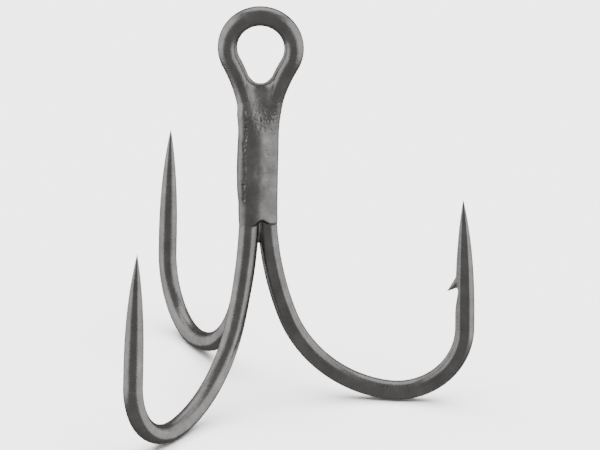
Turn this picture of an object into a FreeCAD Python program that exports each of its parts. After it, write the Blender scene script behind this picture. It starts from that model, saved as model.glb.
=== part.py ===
"""Treble hook: a double-hook wire with an eye, a single-hook wire and the braze that joins them.

Millimetres. The origin is the centre of the line eye. +Z runs up the shank towards the eye, the eye
lies in the XZ plane, and the barbed hook opens towards +X in that same plane.
"""
import FreeCAD, Part
import math
import os

V = FreeCAD.Vector

# Wire and eye
WIRE_D = 1.6
WIRE_GAP = 0.04            # between neighbouring shanks, filled by the braze
EYE_R = 2.68               # centreline radius of the eye
EYE_WRAP = 118.8           # degrees from the top of the eye to where each leg leaves the circle
LEG_TWIST = 30.0           # degrees the pair of legs turns below the eye
LEG_Z = -7.7               # the legs run straight and parallel below this height
LEG_REACH = 2.35           # handle length of the curve from the eye into each leg

# Hooks: azimuths of the three bend planes
BARBED_AZ = 0.0
SINGLE_AZ = 119.2
PLAIN_AZ = 240.8

# Bend, in its plane: the straight shank ends at BEND_Z, then arcs of (radius, degrees)
BEND_Z = -13.45
BEND_ARCS = ((26.0, 21.4), (10.2, 62.5), (5.65, 97.6), (300.0, 2.1))

# Forged section of the bend and the ground point
BEND_D = 1.584             # at the top of the bend: a hair under the shank, so their edges stay apart
FORGE_WIDTH = 1.63         # in the plane of the bend
FORGE_THICK = 1.46         # across it
FORGE_POWER = 2.4          # superellipse power: 2 is round
FORGE_START = 1.0          # distance down the bend where forging begins
FORGE_FULL = 7.0           # distance where the section is fully forged
TAPER = 10.3               # length of the tapered point
TAPER_POWER = 2.55
TIP_CUT = 0.06             # the sharp end is blunted this far back
SECTION_POINTS = 16

# Barb, measured down from the tip along the point leg
BARB_ROOT = 6.10
BARB_HEEL = 7.38
BARB_TIP = 7.80
BARB_RISE = 0.70
BARB_THICK = 0.60
BARB_END = 0.07            # size of its tip against its root
BARB_BURY = 0.20           # how deep its root sits in the wire
SCOOP_DEPTH = 0.19         # cut left under the barb by the chisel
SCOOP_LENGTH = 2.1
SCOOP_GAP = 0.18           # from the buried heel of the barb to the start of the scoop

# Single wire and braze
SINGLE_TOP = -8.3
WEB_TOP = -2.93            # bottom of the eye's opening
WEB_ARC = 1.3              # radius of the fillet there
WEB_LOW = -5.6
WEB_THICK = 1.36
# Braze envelope: (height, leg spread, depth of the third corner, film thickness)
BRAZE_LEVELS = (
    (-4.6, 1.26, 0.10, -0.10),
    (-5.4, 1.06, 0.20, 0.04),
    (-6.6, 0.88, 0.45, 0.12),
    (-8.2, 0.82, 1.42, 0.12),
    (-10.2, 0.82, 1.42, 0.15),
    (-12.4, 0.82, 1.42, 0.09),
    (-13.8, 0.82, 1.42, 0.06),
    (-14.7, 0.82, 1.42, 0.02),
)


def turned(x, y, degrees, z=0.0):
    """The point (x, y, z) turned about +Z."""
    a = math.radians(degrees)
    return V(x * math.cos(a) - y * math.sin(a), x * math.sin(a) + y * math.cos(a), z)


def shank_axes():
    """Where the barbed, plain and single shanks cross the XY plane."""
    half = (WIRE_D + WIRE_GAP) / 2
    barbed = turned(half, 0, LEG_TWIST)
    plain = turned(-half, 0, LEG_TWIST)
    single = turned(0, half * math.sqrt(3), LEG_TWIST)
    return barbed, plain, single


def arc_end(x, z, heading, radius, sweep):
    """End of an arc that curls outwards; heading is degrees from straight down."""
    a0 = math.radians(heading)
    a1 = math.radians(heading + sweep)
    x1 = x + radius * (math.cos(a0) - math.cos(a1))
    z1 = z - radius * (math.sin(a1) - math.sin(a0))
    return x1, z1


def bend_length():
    return sum(r * math.radians(a) for r, a in BEND_ARCS)


def bend_point(s):
    """(x, z, heading) at distance s down the bend, x measured from the shank axis."""
    x, z, heading = 0.0, BEND_Z, 0.0
    for radius, sweep in BEND_ARCS:
        length = radius * math.radians(sweep)
        if s <= length:
            part = math.degrees(s / radius)
            x, z = arc_end(x, z, heading, radius, part)
            return x, z, heading + part
        x, z = arc_end(x, z, heading, radius, sweep)
        heading += sweep
        s -= length
    return x, z, heading


def section_size(s):
    """(width in the bend plane, thickness across it, superellipse power) at distance s."""
    t = min(max((s - FORGE_START) / (FORGE_FULL - FORGE_START), 0.0), 1.0)
    t = t * t * (3 - 2 * t)
    q = min((bend_length() - s) / TAPER, 1.0)
    taper = 1 - (1 - q) ** TAPER_POWER
    width = (BEND_D + t * (FORGE_WIDTH - BEND_D)) * taper
    thick = (BEND_D + t * (FORGE_THICK - BEND_D)) * taper
    return width, thick, 2 + t * (FORGE_POWER - 2)


def section(s, axis, azimuth):
    """Closed outline of the wire at distance s down the bend."""
    x, z, heading = bend_point(s)
    width, thick, power = section_size(s)
    a = math.radians(heading)
    points = []
    for k in range(SECTION_POINTS):
        t = 2 * math.pi * k / SECTION_POINTS
        c, n = math.cos(t), math.sin(t)
        across = width / 2 * math.copysign(abs(c) ** (2 / power), c)
        side = thick / 2 * math.copysign(abs(n) ** (2 / power), n)
        points.append(axis + turned(x + across * math.cos(a), side, azimuth, z + across * math.sin(a)))
    curve = Part.BSplineCurve()
    curve.interpolate(Points=points, PeriodicFlag=True)
    return Part.Wire([curve.toShape()])


def stations():
    """Distances of the sections: even down the bend, closer together on the point."""
    body = bend_length() - TAPER
    even = [body * k / 16 for k in range(16)]
    point = [body + (TAPER - TIP_CUT) * (1 - (1 - k / 10) ** 1.5) for k in range(11)]
    return even + point


def hook(axis, azimuth):
    """Bend and point of one hook."""
    wires = [section(s, axis, azimuth) for s in stations()]
    return Part.makeLoft(wires, True, False)


def round_pipe(path, start, direction):
    """Round wire swept along a path of edges."""
    profile = Part.Wire([Part.makeCircle(WIRE_D / 2, start, direction)])
    return Part.Wire(path).makePipeShell([profile], True, False)


def eye_and_legs(barbed, plain):
    """The line eye and the two legs, down to the start of the bends."""
    a = math.radians(EYE_WRAP)
    leave = V(EYE_R * math.sin(a), 0, EYE_R * math.cos(a))
    down = V(math.cos(a), 0, -math.sin(a))
    leave_left = V(-leave.x, 0, leave.z)
    down_left = V(-down.x, 0, down.z)
    ring = Part.Arc(leave, V(0, 0, EYE_R), leave_left).toShape()
    right = leg_curve(leave, down, barbed)
    left = leg_curve(leave_left, down_left, plain)
    loop = round_pipe([ring], leave, down)
    parts = [
        round_pipe([right], leave, down),
        round_pipe([left], leave_left, down_left),
        straight(barbed, LEG_Z),
        straight(plain, LEG_Z),
    ]
    return loop.fuse(parts)


def leg_curve(start, direction, axis):
    """Smooth curve from the eye into one straight leg."""
    end = V(axis.x, axis.y, LEG_Z)
    curve = Part.BezierCurve()
    curve.setPoles([start, start + direction * LEG_REACH, end + V(0, 0, LEG_REACH), end])
    return curve.toShape()


def straight(axis, top):
    """Straight shank from a height down to the start of the bend."""
    return Part.makeCylinder(WIRE_D / 2, top - BEND_Z, V(axis.x, axis.y, BEND_Z))


def point_side(back, inset):
    """Point at a distance back from the tip, inset from the gape side of the point leg."""
    s = bend_length() - back
    x, z, heading = bend_point(s)
    a = math.radians(heading)
    reach = section_size(s)[0] / 2 - inset
    return x + reach * math.cos(a), 0, z + reach * math.sin(a)


def oval(centre, along, thick):
    """Oval outline with one radius vector and its thickness across the wire."""
    edge = Part.Ellipse(centre + along, centre + V(0, thick / 2, 0), centre)
    return Part.Wire([edge.toShape()])


def barb(axis):
    """The raised sliver: an oval root drawn out to a tip as fine as a cut wire end."""
    root = V(*point_side(BARB_ROOT, BARB_BURY)) + axis
    heel = V(*point_side(BARB_HEEL, BARB_BURY)) + axis
    tip = V(*point_side(BARB_TIP, -BARB_RISE)) + axis
    along = (root - heel) / 2
    base = oval((root + heel) / 2, along, BARB_THICK)
    end = oval(tip, along * BARB_END, BARB_THICK * BARB_END)
    return Part.makeLoft([base, end], True)


def scoop(axis):
    """The shallow hollow that the chisel leaves under the barb."""
    across = V(0, WIRE_D, 0)
    start = BARB_HEEL + SCOOP_GAP
    end = BARB_HEEL + SCOOP_LENGTH
    top = V(*point_side(start, -WIRE_D / 4))
    low = V(*point_side(start + 0.1, SCOOP_DEPTH))
    middle = V(*point_side(start + SCOOP_LENGTH / 2, SCOOP_DEPTH * 0.75))
    out = V(*point_side(end, -0.02))
    far = V(*point_side(end, -WIRE_D / 4))
    curve = Part.Arc(low, middle, out).toShape()
    sides = Part.makePolygon([out, far, top, low])
    face = Part.Face(Part.Wire([curve] + sides.Edges))
    face.translate(axis - across)
    return face.extrude(across * 2)


def make_double_wire():
    barbed, plain, _ = shank_axes()
    barbed_hook = hook(barbed, BARBED_AZ).cut(scoop(barbed)).fuse(barb(barbed))
    wire = eye_and_legs(barbed, plain).fuse([barbed_hook, hook(plain, PLAIN_AZ)])
    return wire.removeSplitter()


def make_single_wire():
    single = shank_axes()[2]
    wire = straight(single, SINGLE_TOP).fuse(hook(single, SINGLE_AZ))
    return wire.removeSplitter()


def hull_outline(centres, radius, z):
    """Tangent lines and arcs round three circles of one radius, centres anticlockwise."""
    edges = []
    for k in range(3):
        before, here, after = centres[k - 1], centres[k], centres[(k + 1) % 3]
        first = outward(before, here)
        last = outward(here, after)
        middle = (first + last).normalize()
        lift = V(0, 0, z)
        start, end = here + first * radius + lift, here + last * radius + lift
        edges.append(Part.Arc(start, here + middle * radius + lift, end).toShape())
        edges.append(Part.makeLine(end, after + last * radius + lift))
    return Part.Wire(edges)


def outward(a, b):
    """Unit normal on the right-hand side of the line from a to b."""
    d = (b - a).normalize()
    return V(d.y, -d.x, 0)


def braze_outline(z, spread, depth, film):
    t = min(max((EYE_R + z) / (EYE_R + LEG_Z), 0.0), 1.0)
    twist = LEG_TWIST * t * t * (3 - 2 * t)
    plain = turned(-spread, 0, twist)
    barbed = turned(spread, 0, twist)
    single = turned(0, depth, twist)
    return hull_outline([plain, barbed, single], WIRE_D / 2 + film, z)


def web():
    """Filler across the throat of the eye, with a round top edge."""
    a = math.radians(90 - (EYE_WRAP - 90))
    x, z = WEB_ARC * math.sin(a), WEB_TOP + WEB_ARC * (1 - math.cos(a))
    arc = Part.Arc(V(-x, 0, z), V(0, 0, WEB_TOP), V(x, 0, z)).toShape()
    sides = Part.makePolygon([V(x, 0, z), V(x, 0, WEB_LOW), V(-x, 0, WEB_LOW), V(-x, 0, z)])
    face = Part.Face(Part.Wire([arc] + sides.Edges))
    face.translate(V(0, -WEB_THICK / 2, 0))
    return face.extrude(V(0, WEB_THICK, 0))


def make_braze(wires):
    """The braze is what is left of its envelope once the wires are taken out."""
    envelope = Part.makeLoft([braze_outline(*level) for level in BRAZE_LEVELS], True, True)
    body = envelope.fuse(web()).cut(wires)
    return max(body.Solids, key=lambda solid: solid.Volume)


def main():
    os.makedirs("parts", exist_ok=True)
    double = make_double_wire()
    single = make_single_wire()
    nodes = {
        "double_hook_wire": double,
        "single_hook_wire": single,
        "shank_braze": make_braze([double, single]),
    }
    for name, shape in nodes.items():
        print(name, shape.isValid(), len(shape.Solids), round(shape.Volume, 3), shape.BoundBox)
        shape.exportStep(os.path.join("parts", name + ".step"))


main()
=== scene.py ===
import math

import bmesh
import bpy
import numpy as np
from mathutils import Matrix, Vector


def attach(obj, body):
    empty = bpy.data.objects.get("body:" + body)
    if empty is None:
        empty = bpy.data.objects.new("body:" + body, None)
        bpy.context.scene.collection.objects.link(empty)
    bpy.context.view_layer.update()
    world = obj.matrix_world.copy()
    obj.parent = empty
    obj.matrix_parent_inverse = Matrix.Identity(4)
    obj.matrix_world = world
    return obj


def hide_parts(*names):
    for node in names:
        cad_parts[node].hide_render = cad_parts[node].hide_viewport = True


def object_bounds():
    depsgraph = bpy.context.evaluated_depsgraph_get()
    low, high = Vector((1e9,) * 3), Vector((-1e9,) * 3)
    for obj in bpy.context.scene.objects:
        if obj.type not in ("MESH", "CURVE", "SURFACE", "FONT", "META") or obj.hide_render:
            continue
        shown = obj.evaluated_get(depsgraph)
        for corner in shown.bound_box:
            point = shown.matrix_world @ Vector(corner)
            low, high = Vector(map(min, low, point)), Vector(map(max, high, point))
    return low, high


# Treble hook: two bent wires swept as tubes, and the braze as a signed-distance skin over them.
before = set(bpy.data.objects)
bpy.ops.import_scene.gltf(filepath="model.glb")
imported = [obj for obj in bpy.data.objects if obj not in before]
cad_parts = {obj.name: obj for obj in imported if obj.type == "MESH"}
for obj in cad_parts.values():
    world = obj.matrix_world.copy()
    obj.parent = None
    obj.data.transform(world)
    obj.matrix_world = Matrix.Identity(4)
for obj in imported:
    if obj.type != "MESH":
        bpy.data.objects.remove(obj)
cad_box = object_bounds()

MM = 0.001

# Dimensions in millimetres, the same as the CAD part's but for a hair off the wire
WIRE_D = 1.59
WIRE_GAP = 0.05
EYE_R = 2.68
EYE_WRAP = 118.8
LEG_TWIST = 30.0
LEG_Z = -7.7
LEG_REACH = 2.35
BARBED_AZ, SINGLE_AZ, PLAIN_AZ = 0.0, 119.2, 240.8
BEND_Z = -13.45
BEND_ARCS = ((26.0, 21.4), (10.2, 62.5), (5.65, 97.6), (300.0, 2.1))
FORGE_WIDTH = 1.60
FORGE_THICK = 1.46
FORGE_START, FORGE_FULL = 0.5, 6.0
TAPER = 10.3
TAPER_POWER = 2.55
TIP_CUT = 0.03
BARBED_LONGER, SINGLE_LONGER = 0.22, 0.30
BARB_ROOT, BARB_HEEL, BARB_TIP = 6.10, 7.38, 7.80
BARB_RISE = 0.70
SCOOP_DEPTH = 0.19
SINGLE_TOP = -8.3
AROUND = 64


# ---------------------------------------------------------------- paths
def smooth(t):
    t = np.clip(t, 0, 1)
    return t * t * (3 - 2 * t)


def turned(v, degrees):
    a = math.radians(degrees)
    c, s = math.cos(a), math.sin(a)
    return np.stack([v[..., 0] * c - v[..., 1] * s, v[..., 0] * s + v[..., 1] * c, v[..., 2]], -1)


HALF = (WIRE_D + WIRE_GAP) / 2
BARBED_AXIS = turned(np.array([HALF, 0.0, 0.0]), LEG_TWIST)
PLAIN_AXIS = turned(np.array([-HALF, 0.0, 0.0]), LEG_TWIST)
SINGLE_AXIS = turned(np.array([0.0, HALF * math.sqrt(3), 0.0]), LEG_TWIST)
BEND_LENGTH = sum(r * math.radians(a) for r, a in BEND_ARCS)


def bend_point(s):
    x, z, heading = 0.0, BEND_Z, 0.0
    for radius, sweep in BEND_ARCS:
        length = radius * math.radians(sweep)
        part = min(sweep, math.degrees(s / radius))
        a0, a1 = math.radians(heading), math.radians(heading + part)
        x += radius * (math.cos(a0) - math.cos(a1))
        z -= radius * (math.sin(a1) - math.sin(a0))
        heading += part
        if s <= length:
            break
        s -= length
    return x, z, math.radians(heading)


def bend_path(axis, azimuth, stations, longer=0.0):
    """Centre, tangent and gape-side direction down one bend, and the distance of each.

    The last 6 mm of the point can be drawn out longer.
    """
    rows = np.array([bend_point(s) for s in stations])
    x, z, a = rows.T
    zero = np.zeros_like(x)
    centre = axis + turned(np.stack([x, zero, z], -1), azimuth)
    tangent = turned(np.stack([np.sin(a), zero, -np.cos(a)], -1), azimuth)
    across = turned(np.stack([np.cos(a), zero, np.sin(a)], -1), azimuth)
    s = np.array(stations)
    draw = longer * smooth((s - BEND_LENGTH + 6.0) / 6.0)
    return centre + tangent * draw[:, None], tangent, across, s


def bend_stations():
    body = BEND_LENGTH - TAPER
    even = np.linspace(0, body, 150, endpoint=False)
    t = np.linspace(0, 1, 90)
    return list(even) + list(body + (TAPER - TIP_CUT) * (1 - (1 - t) ** 1.6))


def leg_bezier(side, t):
    """The curve from the eye into a leg; side is +1 for the barbed leg and -1 for the plain one."""
    a = math.radians(EYE_WRAP)
    start = np.array([side * EYE_R * math.sin(a), 0, EYE_R * math.cos(a)])
    down = np.array([side * math.cos(a), 0, -math.sin(a)])
    axis = BARBED_AXIS if side > 0 else PLAIN_AXIS
    end = np.array([axis[0], axis[1], LEG_Z])
    p1, p2 = start + down * LEG_REACH, end + np.array([0, 0, LEG_REACH])
    t = np.asarray(t)[:, None]
    point = (1 - t) ** 3 * start + 3 * (1 - t) ** 2 * t * p1 + 3 * (1 - t) * t * t * p2 + t ** 3 * end
    slope = (1 - t) ** 2 * (p1 - start) + 2 * (1 - t) * t * (p2 - p1) + t * t * (end - p2)
    return point, slope / np.linalg.norm(slope, axis=1)[:, None]


# ---------------------------------------------------------------- wire meshes
def section_ring(s, barbed, count=AROUND):
    """Outline of the wire (across, side, flatness) at distance s down the bend; s < 0 is round wire."""
    forged = float(smooth((s - FORGE_START) / (FORGE_FULL - FORGE_START)))
    q = min((BEND_LENGTH - s) / TAPER, 1.0)
    taper = 1 - (1 - q) ** TAPER_POWER
    width = (WIRE_D + forged * (FORGE_WIDTH - WIRE_D)) * taper / 2
    thick = (WIRE_D + forged * (FORGE_THICK - WIRE_D)) * taper / 2
    t = np.linspace(0, 2 * math.pi, count, endpoint=False)
    c, n = np.cos(t), np.sin(t)
    side = n * width
    if forged > 0:
        # a round bar pressed between flats, with a small radius where flat meets round
        soft = 0.05 * taper
        over = np.abs(side) - thick
        side = np.sign(side) * (thick + 0.5 * (over - np.sqrt(over ** 2 + soft ** 2)))
    edge = 0.06 * max(taper, 0.1)
    flat = np.clip((np.abs(n) * width - thick) / edge + 0.5, 0, 1) * min(1, forged * 1.5)
    across = c * width
    if barbed:
        # the chisel that raised the barb took a long shallow scoop below it
        back = BEND_LENGTH - s
        below = back - BARB_HEEL
        depth = SCOOP_DEPTH * float(smooth(below / 0.12) * (1 - smooth((below - 0.5) / 1.7)))
        top = width - depth
        over = across - top
        across = np.where(depth > 1e-4, top + 0.5 * (over - np.sqrt(over ** 2 + 0.03 ** 2)), across)
    return across, side, flat


def sweep_mesh(name, centres, tangents, acrosses, stations, barbed_rings=0):
    """A tube through the stations, round where the distance is negative, closed by a fan at each end.

    The first barbed_rings sections carry the scoop below the barb.
    """
    bm = bmesh.new()
    flat_layer = bm.verts.layers.float.new("flat")
    along_layer = bm.verts.layers.float.new("back")
    rings = []
    for c, t, u, s in zip(centres, tangents, acrosses, stations):
        u = u - t * (u @ t)
        u = u / np.linalg.norm(u)
        v = np.cross(t, u)
        across, side, flat = section_ring(s, len(rings) < barbed_rings)
        pts = c + np.outer(across, u) + np.outer(side, v)
        ring = []
        for p, f in zip(pts, flat):
            vert = bm.verts.new(p * MM)
            vert[flat_layer] = f
            vert[along_layer] = BEND_LENGTH - s
            ring.append(vert)
        rings.append(ring)
    for a, b in zip(rings, rings[1:]):
        for k in range(AROUND):
            j = (k + 1) % AROUND
            bm.faces.new((a[k], a[j], b[j], b[k]))
    for ring, c in ((rings[0], centres[0]), (rings[-1], centres[-1])):
        tip = bm.verts.new(c * MM)
        tip[along_layer] = ring[0][along_layer]
        for k in range(AROUND):
            j = (k + 1) % AROUND
            bm.faces.new((ring[j], ring[k], tip))
    bmesh.ops.recalc_face_normals(bm, faces=bm.faces)
    mesh = bpy.data.meshes.new(name)
    bm.to_mesh(mesh)
    bm.free()
    obj = bpy.data.objects.new(name, mesh)
    bpy.context.scene.collection.objects.link(obj)
    return obj


def double_wire():
    st = bend_stations()
    parts = []
    c, t, u, s = bend_path(BARBED_AXIS, BARBED_AZ, st, BARBED_LONGER)
    parts.append((c[::-1], -t[::-1], u[::-1], s[::-1]))
    z = np.linspace(BEND_Z, LEG_Z, 40)[1:-1]
    leg = np.stack([np.full_like(z, BARBED_AXIS[0]), np.full_like(z, BARBED_AXIS[1]), z], -1)
    up = np.tile([0.0, 0.0, 1.0], (len(z), 1))
    parts.append((leg, up, np.tile([1.0, 0, 0], (len(z), 1)), -np.ones(len(z))))
    p, d = leg_bezier(1, np.linspace(1, 0, 60))
    parts.append((p, -d, np.tile([1.0, 0, 0], (len(p), 1)), -np.ones(len(p))))
    phi = np.radians(np.linspace(EYE_WRAP, -EYE_WRAP, 140))[1:-1]
    zero = np.zeros_like(phi)
    radial = np.stack([np.sin(phi), zero, np.cos(phi)], -1)
    round_eye = np.stack([-np.cos(phi), zero, np.sin(phi)], -1)
    parts.append((radial * EYE_R, round_eye, radial, -np.ones(len(phi))))
    p, d = leg_bezier(-1, np.linspace(0, 1, 60))
    parts.append((p, d, np.tile([-1.0, 0, 0], (len(p), 1)), -np.ones(len(p))))
    z = z[::-1]
    leg = np.stack([np.full_like(z, PLAIN_AXIS[0]), np.full_like(z, PLAIN_AXIS[1]), z], -1)
    turn = smooth((LEG_Z - z) / (LEG_Z - BEND_Z)) * (PLAIN_AZ - 180)
    look = np.array([turned(np.array([-1.0, 0, 0]), a) for a in turn])
    parts.append((leg, -up, look, -np.ones(len(z))))
    parts.append(bend_path(PLAIN_AXIS, PLAIN_AZ, st))
    wire = sweep_mesh("double_wire", *[np.concatenate([q[i] for q in parts]) for i in range(4)], len(st))
    barb = barb_spike()
    union = wire.modifiers.new("barb", "BOOLEAN")
    union.operation = "UNION"
    union.solver = "EXACT"
    union.object = barb
    bpy.context.view_layer.update()
    mesh = bpy.data.meshes.new_from_object(wire.evaluated_get(bpy.context.evaluated_depsgraph_get()))
    wire.modifiers.clear()
    wire.data = mesh
    bpy.data.objects.remove(barb)
    return wire


def gape_side(back, inset):
    """Point on the barbed hook's plane, back from the tip and inset from the gape side of the wire."""
    x, z, a = bend_point(BEND_LENGTH - back)
    reach = section_ring(BEND_LENGTH - back, False)[0].max() - inset
    return BARBED_AXIS + np.array([x + reach * math.cos(a), 0, z + reach * math.sin(a)])


def barb_spike():
    """A sliver raised from the wire: an oval root inside it, drawn out to a sharp tip."""
    root, heel = gape_side(BARB_ROOT, 0.20), gape_side(BARB_HEEL + 0.03, 0.20)
    tip = gape_side(BARB_TIP, -BARB_RISE)
    middle, half = (root + heel) / 2, (root - heel) / 2
    rings = 14
    bm = bmesh.new()
    loops = []
    for k in range(rings):
        t = k / rings
        centre = middle * (1 - t) + tip * t + np.array([0.05, 0, 0.03]) * math.sin(math.pi * t)
        size = 1 - t ** 1.15
        loop = []
        for j in range(20):
            a = 2 * math.pi * j / 20
            p = centre + half * size * math.cos(a) + np.array([0, 0.30 * size ** 0.8, 0]) * math.sin(a)
            loop.append(bm.verts.new(p * MM))
        loops.append(loop)
    end = bm.verts.new(tip * MM)
    for a, b in zip(loops, loops[1:]):
        for j in range(20):
            bm.faces.new((a[j], a[(j + 1) % 20], b[(j + 1) % 20], b[j]))
    for j in range(20):
        bm.faces.new((loops[-1][j], loops[-1][(j + 1) % 20], end))
    bm.faces.new(loops[0][::-1])
    bmesh.ops.recalc_face_normals(bm, faces=bm.faces)
    mesh = bpy.data.meshes.new("barb")
    bm.to_mesh(mesh)
    bm.free()
    obj = bpy.data.objects.new("barb", mesh)
    bpy.context.scene.collection.objects.link(obj)
    return obj


def single_wire():
    z = np.concatenate([[SINGLE_TOP], np.linspace(SINGLE_TOP - 0.1, BEND_Z, 40)[:-1]])
    leg = np.stack([np.full_like(z, SINGLE_AXIS[0]), np.full_like(z, SINGLE_AXIS[1]), z], -1)
    look = np.tile(turned(np.array([1.0, 0, 0]), SINGLE_AZ), (len(z), 1))
    parts = [(leg, np.tile([0, 0, -1.0], (len(z), 1)), look, -np.ones(len(z)))]
    parts.append(bend_path(SINGLE_AXIS, SINGLE_AZ, bend_stations(), SINGLE_LONGER))
    return sweep_mesh("single_wire", *[np.concatenate([q[i] for q in parts]) for i in range(4)])


# ---------------------------------------------------------------- braze skin
GRID = 0.045


def smin(a, b, k):
    h = np.maximum(k - np.abs(a - b), 0) / k
    return np.minimum(a, b) - h * h * k / 4


def smax(a, b, k):
    return -smin(-a, -b, k)


TILT = np.array(Matrix.Rotation(0.7, 3, "X") @ Matrix.Rotation(0.5, 3, "Y") @ Matrix.Rotation(1.1, 3, "Z"))


def value_noise(p, scale, seed):
    """Smooth lattice noise in -1..1 at each point; the lattice is tilted so that it lines up with nothing."""
    q = p @ TILT / scale
    base = np.floor(q).astype(np.int64)
    f = q - base
    f = f * f * (3 - 2 * f)
    total = np.zeros(p.shape[:-1])
    for dx in (0, 1):
        for dy in (0, 1):
            for dz in (0, 1):
                n = (base[..., 0] + dx) * 374761393 + (base[..., 1] + dy) * 668265263
                n = n + (base[..., 2] + dz) * 2147483647 + seed * 144665
                n = (n ^ (n >> 13)) * 1274126177
                n = (n ^ (n >> 16)) & 0xFFFF
                w = (f[..., 0] if dx else 1 - f[..., 0]) * (f[..., 1] if dy else 1 - f[..., 1])
                total += w * (f[..., 2] if dz else 1 - f[..., 2]) * (n / 32767.5 - 1)
    return total


def wire_lines(z):
    """Centre (x, y) and unit tangent of the three wires at each height."""
    out = []
    wires = ((1, BARBED_AXIS, BARBED_AZ), (-1, PLAIN_AXIS, PLAIN_AZ), (0, SINGLE_AXIS, SINGLE_AZ))
    for side, axis, azimuth in wires:
        x = np.full_like(z, axis[0])
        y = np.full_like(z, axis[1])
        t = np.tile([0.0, 0.0, -1.0], (len(z), 1))
        low = z < BEND_Z
        radius = BEND_ARCS[0][0]
        a = np.arcsin(np.clip((BEND_Z - z) / radius, 0, 1))
        out_by = radius * (1 - np.cos(a))
        az = math.radians(azimuth)
        x = np.where(low, axis[0] + out_by * math.cos(az), x)
        y = np.where(low, axis[1] + out_by * math.sin(az), y)
        bent = np.stack([np.sin(a) * math.cos(az), np.sin(a) * math.sin(az), -np.cos(a)], -1)
        t = np.where(low[:, None], bent, t)
        if side:
            p, d = leg_bezier(side, np.linspace(0, 1, 400))
            high = z > LEG_Z
            order = np.argsort(p[:, 2])
            for k, target in ((0, x), (1, y)):
                target[high] = np.interp(z[high], p[order, 2], p[order, k])
            for k in range(3):
                t[high, k] = np.interp(z[high], p[order, 2], d[order, k])
        out.append((x, y, t))
    return out


def lower_end(x):
    """Height where the filler ends on the front: an arch over the barbed leg."""
    return -15.28 + 0.52 * np.exp(-((x - 0.32) / 0.55) ** 2)


def braze_field(x, y, z):
    """Signed distance to the braze's surface on the grid x, y, z (1-D arrays)."""
    X, Y, Z = np.meshgrid(x, y, z, indexing="ij")
    X, Y, Z = (a.astype(np.float32) for a in (X, Y, Z))
    dist = []
    for cx, cy, t in wire_lines(z):
        hx, hy = X - cx.astype(np.float32), Y - cy.astype(np.float32)
        along = hx * t[:, 0].astype(np.float32) + hy * t[:, 1].astype(np.float32)
        dist.append(np.sqrt(np.maximum(hx * hx + hy * hy - along * along, 1e-9)) - WIRE_D / 2)
    barbed, plain, single = dist
    # the single wire starts below the throat, under a rounded cap of filler
    over = np.maximum(Z - (SINGLE_TOP - 0.1), 0)
    single = np.sqrt((single + WIRE_D / 2) ** 2 + (over * 0.62) ** 2) - WIRE_D / 2
    fill = 1.46 - 0.9 * smooth((lower_end(X) + 0.45 - Z) / 0.5) - 0.4 * smooth((Z + 5.4) / 1.6)
    fill = fill - 0.46 * smooth((-15.5 - Z) / 1.1)
    pair = smin(barbed, plain, fill)
    body = smin(pair, single, fill)
    # the throat web: a slab between the legs with a round concave top edge, sunk away further down
    lines = wire_lines(z)
    slope = ((lines[0][1] - lines[1][1]) / (lines[0][0] - lines[1][0])).astype(np.float32)
    tilt = (Y - X * slope) / np.sqrt(1 + slope * slope)
    slab = np.abs(tilt) - 0.50 + 0.5 * smooth((-4.3 - Z) / 2.2)
    bowl = 1.22 - np.sqrt(X * X + (Z + 1.68) ** 2)
    web = smax(smax(slab, bowl, 0.7), np.abs(X) - 1.2, 0.5)
    body = smin(body, web, 0.5)
    return X, Y, Z, body


def film_thickness(P):
    """How far the filler stands above the wires: covers the shank, dies away at both ends."""
    x, y, z = P[..., 0], P[..., 1], P[..., 2]
    ragged = 0.22 * value_noise(P, 0.8, 3) + 0.10 * value_noise(P, 0.25, 4)
    upper = smooth((-3.6 + ragged - z) / 2.1)
    left = smooth((-0.55 - x) / 0.65) * smooth((-4.8 - z) / 1.0) * smooth((z + 13.4) / 1.6)
    bulge = np.exp(-((z + 10.0) / 1.6) ** 2) * smooth(-x / 0.8)
    dome = np.exp(-((x - 0.36) / 0.6) ** 2) * (y < 0.2) * smooth((-5.8 - z) / 1.5)
    stand = 0.05 + 0.11 * left + 0.045 * bulge + 0.10 * dome
    # the end is crisp over the barbed leg and thins out slowly on the plain leg
    thin = smooth((-0.15 - x) / 0.5)
    lower = smooth((z - lower_end(x) + 0.1 * ragged + 0.4 * thin) / (0.5 + 1.5 * thin))
    sink = 0.05 * smooth((z + 2.9) / 0.6)
    return -0.04 - sink + (0.04 + stand) * upper * lower


def dent(out, P, where, x0, z0, radius, depth):
    """Presses one round pit into the side of the shank that where picks out."""
    near = where & (np.abs(P[..., 2] - z0) < 3 * radius) & (np.abs(P[..., 0] - x0) < 3 * radius)
    if near.any():
        q = ((P[near][:, 0] - x0) ** 2 + (P[near][:, 2] - z0) ** 2) / radius ** 2
        out[near] -= depth * np.exp(-q)


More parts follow.
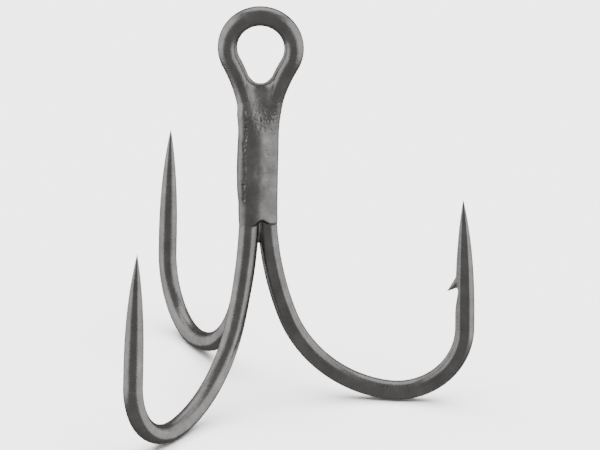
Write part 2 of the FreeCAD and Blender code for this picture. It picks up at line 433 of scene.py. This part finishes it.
def surface_details(P):
    """Pits, lumps and runs of the filler, in millimetres, positive outwards."""
    x, y, z = P[..., 0], P[..., 1], P[..., 2]
    cover = smooth((-4.4 - z) / 0.8) * smooth((z + 14.6) / 0.8)
    patch = np.exp(-((z + 5.5) / 0.7) ** 2)
    lumps = 0.007 * value_noise(P, 1.3, 11) + 0.0025 * value_noise(P, 0.5, 12)
    grain = (0.002 + 0.009 * patch) * value_noise(P, 0.13, 13)
    out = (lumps + grain) * cover
    front, behind = y < 0.7, y >= 0.7
    rng = np.random.default_rng(7)
    for k in range(230):
        # a ragged seam down the front of the plain leg
        z0 = rng.uniform(-12.7, -5.0)
        x0 = -1.03 + rng.normal(0, 0.08) + 0.06 * math.sin(z0 * 1.7) + 0.04 * math.sin(z0 * 4.1)
        dent(out, P, front, x0, z0, rng.uniform(0.05, 0.08), rng.uniform(0.01, 0.036))
    for k in range(150):
        # the pitted patch under the throat of the eye
        place = rng.uniform(-1.1, 1.4), -5.4 + rng.normal(0, 0.6)
        dent(out, P, front, *place, rng.uniform(0.05, 0.08), rng.uniform(0.008, 0.028))
    for k in range(50):
        # a few faint pits on the light side of the front
        place = rng.uniform(0.3, 1.5), rng.uniform(-14.2, -6)
        dent(out, P, front, *place, rng.uniform(0.05, 0.08), rng.uniform(0.005, 0.018))
    for k in range(160):
        # deeper pits all over the back
        place = rng.uniform(-2.0, 1.5), rng.uniform(-13.8, -5.2)
        dent(out, P, behind, *place, rng.uniform(0.045, 0.09), rng.uniform(0.015, 0.05))
    # one shallow round blob on the front
    q = np.sqrt((x - 0.12) ** 2 + ((z + 10.2) * 0.8) ** 2)
    return out + np.where(front, -0.012 * np.exp(-(q / 0.34) ** 4), 0)


def surface_nets(field, origin, step):
    """Vertices and quads of the surface where the field changes sign."""
    nx, ny, nz = field.shape
    cells = (nx - 1, ny - 1, nz - 1)
    total = np.zeros(cells + (3,), np.float32)
    count = np.zeros(cells, np.int8)
    corners = [np.array([i, j, k]) for i in (0, 1) for j in (0, 1) for k in (0, 1)]
    for a in corners:
        for axis in range(3):
            if a[axis]:
                continue
            b = a.copy()
            b[axis] = 1
            fa = field[a[0]:nx - 1 + a[0], a[1]:ny - 1 + a[1], a[2]:nz - 1 + a[2]]
            fb = field[b[0]:nx - 1 + b[0], b[1]:ny - 1 + b[1], b[2]:nz - 1 + b[2]]
            cross = (fa < 0) != (fb < 0)
            t = np.where(cross, fa / np.where(cross, fa - fb, 1), 0)
            for d in range(3):
                total[..., d] += np.where(cross, a[d] + t * (b[d] - a[d]), 0)
            count += cross
    active = count > 0
    index = np.full(cells, -1, np.int64)
    index[active] = np.arange(active.sum())
    where = np.argwhere(active)
    verts = (where + total[active] / count[active][:, None]) * step + origin
    quads = []
    neg = field < 0
    for axis in range(3):
        u, v = (axis + 1) % 3, (axis + 2) % 3
        lo = [slice(1, -1)] * 3
        lo[axis] = slice(0, -1)
        hi = list(lo)
        hi[axis] = slice(1, None)
        change = neg[tuple(lo)] != neg[tuple(hi)]
        inside = neg[tuple(lo)]
        cell = np.argwhere(change)
        flip = ~inside[change]
        cell[:, u] += 1
        cell[:, v] += 1
        steps = [(0, 0), (-1, 0), (-1, -1), (0, -1)]
        ring = []
        for du, dv in steps:
            c = cell.copy()
            c[:, u] += du
            c[:, v] += dv
            ring.append(index[c[:, 0], c[:, 1], c[:, 2]])
        ring = np.stack(ring, -1)
        ring[flip] = ring[flip][:, ::-1]
        quads.append(ring)
    return verts, np.concatenate(quads)


def braze_skin():
    x = np.arange(-3.3, 3.31, GRID)
    y = np.arange(-1.6, 2.61, GRID)
    z = np.arange(-16.9, -1.89, GRID)
    X, Y, Z, body = braze_field(x, y, z)
    near = np.abs(body) < 0.26
    P = np.stack([X[near], Y[near], Z[near]], -1).astype(np.float64)
    offset = film_thickness(P) + surface_details(P)
    body[near] -= offset
    body[~near] += np.where(body[~near] > 0, 0.05, 0)
    cut = smax(body, np.maximum(Z + 2.2, -16.7 - Z), 0.05)
    verts, quads = surface_nets(cut, np.array([x[0], y[0], z[0]]), GRID)
    mesh = bpy.data.meshes.new("braze_skin")
    mesh.from_pydata((verts * MM).tolist(), [], quads.tolist())
    mesh.update()
    # the throat mask makes the filler satin there and also paints a highlight into its colour at the bottom
    # of the eye's hole
    throat_satin_and_highlight = mesh.attributes.new("throat_satin_and_highlight", "FLOAT", "POINT")
    x, z = verts[:, 0], verts[:, 2]
    amount = np.exp(-(x / 1.1) ** 2) * smooth((z + 5.8) / 1.0) * smooth((-2.9 - z) / 0.6)
    throat_satin_and_highlight.data.foreach_set("value", amount.astype(np.float32))
    thin_end = mesh.attributes.new("thin_end", "FLOAT", "POINT")
    ends = np.maximum(smooth((z + 6.0) / 1.6), smooth((-14.3 - z) / 0.8))
    thin_end.data.foreach_set("value", ends.astype(np.float32))
    obj = bpy.data.objects.new("braze_skin", mesh)
    bpy.context.scene.collection.objects.link(obj)
    return obj


# ---------------------------------------------------------------- materials
# Reflectance of the dark plate, from its darkest stains to its palest patches: (noise value, colour)
WIRE_TONES = ((0.3, (0.25, 0.24, 0.235)), (0.5, (0.298, 0.288, 0.283)), (0.7, (0.365, 0.355, 0.35)))
BRAZE_TONES = ((0.3, (0.235, 0.225, 0.22)), (0.5, (0.295, 0.285, 0.28)), (0.75, (0.40, 0.39, 0.385)))


def node(tree, kind, **values):
    made = tree.nodes.new(kind)
    for key, value in values.items():
        if key in made.inputs:
            made.inputs[key].default_value = value
        else:
            setattr(made, key, value)
    return made


def noise(tree, scale, detail, rough=0.55):
    """Noise over the object's own coordinates; scale is in features per millimetre."""
    coords = node(tree, "ShaderNodeTexCoord")
    made = node(tree, "ShaderNodeTexNoise", Scale=scale * 1000, Detail=detail, Roughness=rough)
    tree.links.new(coords.outputs["Object"], made.inputs["Vector"])
    return made.outputs["Fac"]


def remap(tree, value, low, high, to_low, to_high):
    made = node(tree, "ShaderNodeMapRange")
    for key, number in (("From Min", low), ("From Max", high), ("To Min", to_low), ("To Max", to_high)):
        made.inputs[key].default_value = number
    tree.links.new(value, made.inputs["Value"])
    return made.outputs["Result"]


def maths(tree, operation, a, b):
    made = node(tree, "ShaderNodeMath", operation=operation)
    for socket, value in zip(made.inputs, (a, b)):
        if isinstance(value, (int, float)):
            socket.default_value = value
        else:
            tree.links.new(value, socket)
    return made.outputs[0]


def ramp(tree, value, stops):
    made = node(tree, "ShaderNodeValToRGB")
    band = made.color_ramp
    while len(band.elements) < len(stops):
        band.elements.new(0.5)
    for element, (place, colour) in zip(band.elements, stops):
        element.position = place
        element.color = (*colour, 1)
    tree.links.new(value, made.inputs["Fac"])
    return made.outputs["Color"]


def bump(tree, height, strength, distance, under=None):
    made = node(tree, "ShaderNodeBump", Distance=distance * MM)
    if isinstance(strength, (int, float)):
        made.inputs["Strength"].default_value = strength
    else:
        tree.links.new(strength, made.inputs["Strength"])
    tree.links.new(height, made.inputs["Height"])
    if under is not None:
        tree.links.new(under, made.inputs["Normal"])
    return made.outputs["Normal"]


def new_metal(name):
    mat = bpy.data.materials.new(name)
    mat.use_nodes = True
    shader = mat.node_tree.nodes["Principled BSDF"]
    shader.inputs["Metallic"].default_value = 1.0
    shader.inputs["Specular Tint"].default_value = (0.55, 0.54, 0.54, 1)
    return mat, mat.node_tree, shader


def wire_metal():
    """Dark nickel over drawn wire: smooth on the pressed flats, finely grained on the round edges."""
    mat, tree, shader = new_metal("black_nickel_wire")
    flat = node(tree, "ShaderNodeAttribute", attribute_name="flat").outputs["Fac"]
    round_part = maths(tree, "SUBTRACT", 1.0, flat)
    mottle = noise(tree, 0.7, 5, 0.6)
    grain = noise(tree, 11, 3, 0.65)
    colour = ramp(tree, mottle, WIRE_TONES)
    tree.links.new(colour, shader.inputs["Base Color"])
    base = remap(tree, grain, 0.3, 0.7, 0.15, 0.25)
    rough = maths(tree, "ADD", base, maths(tree, "MULTIPLY", round_part, 0.07))
    tree.links.new(rough, shader.inputs["Roughness"])
    strength = maths(tree, "ADD", maths(tree, "MULTIPLY", round_part, 0.55), 0.06)
    fine = bump(tree, grain, strength, 0.02)
    soft = bump(tree, noise(tree, 0.8, 3), 0.5, 0.06, fine)
    tree.links.new(soft, shader.inputs["Normal"])
    return mat


def braze_metal():
    """The same plate over filler metal: rougher, stained and pitted, and satin in the throat of the eye,
    where the colour is also made lighter as a painted highlight.
    """
    mat, tree, shader = new_metal("black_nickel_braze")
    throat_satin_and_highlight = node(tree, "ShaderNodeAttribute", attribute_name="throat_satin_and_highlight").outputs["Fac"]
    stain = noise(tree, 0.8, 5, 0.6)
    grain = noise(tree, 9, 4, 0.7)
    # painted highlight: the throat mask lifts the colour by 0.22, a light band at the bottom of the eye's
    # hole; its roughness lift below is the real satin finish
    stain_and_highlight = maths(tree, "ADD", stain, maths(tree, "MULTIPLY", throat_satin_and_highlight, 0.22))
    colour = ramp(tree, stain_and_highlight, BRAZE_TONES)
    tree.links.new(colour, shader.inputs["Base Color"])
    base = remap(tree, stain, 0.3, 0.7, 0.45, 0.33)
    rough = maths(tree, "ADD", base, maths(tree, "MULTIPLY", throat_satin_and_highlight, 0.28))
    thin_end = node(tree, "ShaderNodeAttribute", attribute_name="thin_end").outputs["Fac"]
    rough = maths(tree, "SUBTRACT", rough, maths(tree, "MULTIPLY", thin_end, 0.14))
    tree.links.new(rough, shader.inputs["Roughness"])
    fine = bump(tree, grain, 0.5, 0.02)
    soft = bump(tree, noise(tree, 1.6, 2), 0.25, 0.05, fine)
    tree.links.new(soft, shader.inputs["Normal"])
    return mat


wire_mat = wire_metal()
braze_mat = braze_metal()

pieces = [(double_wire(), "double_hook_wire", "plated_wire", wire_mat),
          (single_wire(), "single_hook_wire", "plated_wire", wire_mat),
          (braze_skin(), "shank_braze", "plated_braze", braze_mat)]
for obj, node, slot, mat in pieces:
    obj.data.materials.append(mat)
    for poly in obj.data.polygons:
        poly.use_smooth = True
    obj.data.set_sharp_from_angle(angle=math.radians(50))
    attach(obj, "root")
    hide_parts(node)

# ---------------------------------------------------------------- floor, light, camera
floor_z = cad_box[0][2]
bpy.ops.mesh.primitive_plane_add(size=6.0, location=(0, 0, floor_z))
floor = bpy.context.object
floor.name = "floor"
floor_mat = bpy.data.materials.new("pale_floor")
floor_mat.use_nodes = True
floor_mat.node_tree.nodes["Principled BSDF"].inputs["Base Color"].default_value = (0.9, 0.9, 0.9, 1)
floor_mat.node_tree.nodes["Principled BSDF"].inputs["Roughness"].default_value = 0.9
floor.data.materials.append(floor_mat)
floor.visible_glossy = False


def softbox(name, place, aim, size, radiance, in_gloss=True):
    light = bpy.data.lights.new(name, "AREA")
    light.shape = "RECTANGLE"
    light.size, light.size_y = size
    light.energy = radiance * math.pi * size[0] * size[1]
    obj = bpy.data.objects.new(name, light)
    bpy.context.scene.collection.objects.link(obj)
    obj.location = place
    direction = Vector(aim) - Vector(place)
    obj.rotation_euler = direction.to_track_quat("-Z", "Y").to_euler()
    obj.visible_glossy = in_gloss
    return obj


# Two side panels make the long strips on the wire; the front stays dark between them. The wash is
# kept out of reflections and only lights the floor.
softbox("left_panel", (-0.8, 0.12, 0.15), (0, 0.12, 0.15), (1.68, 1.3), 1.05)
softbox("right_panel", (0.8, 0.12, 0.15), (0, 0.12, 0.15), (1.68, 1.3), 1.05)
softbox("top_panel", (0, 0.45, 0.9), (0, 0, 0), (1.4, 1.0), 1.1)
softbox("floor_wash", (0, 0, 1.6), (0, 0, 0), (2.4, 2.4), 9.5, in_gloss=False)

world = bpy.data.worlds.new("studio")
bpy.context.scene.world = world
world.use_nodes = True
world.node_tree.nodes["Background"].inputs["Color"].default_value = (0.275, 0.272, 0.27, 1)
world.node_tree.nodes["Background"].inputs["Strength"].default_value = 1.0

CAM_AZ = 2.84
CAM_EL = 20.19
CAM_ROLL = 1.18
CAM_DISTANCE = 302.3
AIM_RIGHT, AIM_UP = 3.147, -14.195
LENS = 226.1


def place_camera():
    az, el, roll = (math.radians(a) for a in (CAM_AZ, CAM_EL, CAM_ROLL))
    turn = Matrix.Rotation(az, 3, "Z")
    forward = turn @ Vector((0, math.cos(el), -math.sin(el)))
    right = turn @ Vector((1, 0, 0))
    up = right.cross(forward)
    r = right * math.cos(roll) + up * math.sin(roll)
    u = up * math.cos(roll) - right * math.sin(roll)
    where = (r * AIM_RIGHT + u * AIM_UP - forward * CAM_DISTANCE) * MM
    cam = bpy.data.cameras.new("camera")
    cam.lens = LENS
    cam.sensor_width = 36
    cam.clip_start = 0.01
    obj = bpy.data.objects.new("camera", cam)
    bpy.context.scene.collection.objects.link(obj)
    m = Matrix((r, u, -forward)).transposed().to_4x4()
    m.translation = where
    obj.matrix_world = m
    bpy.context.scene.camera = obj


place_camera()
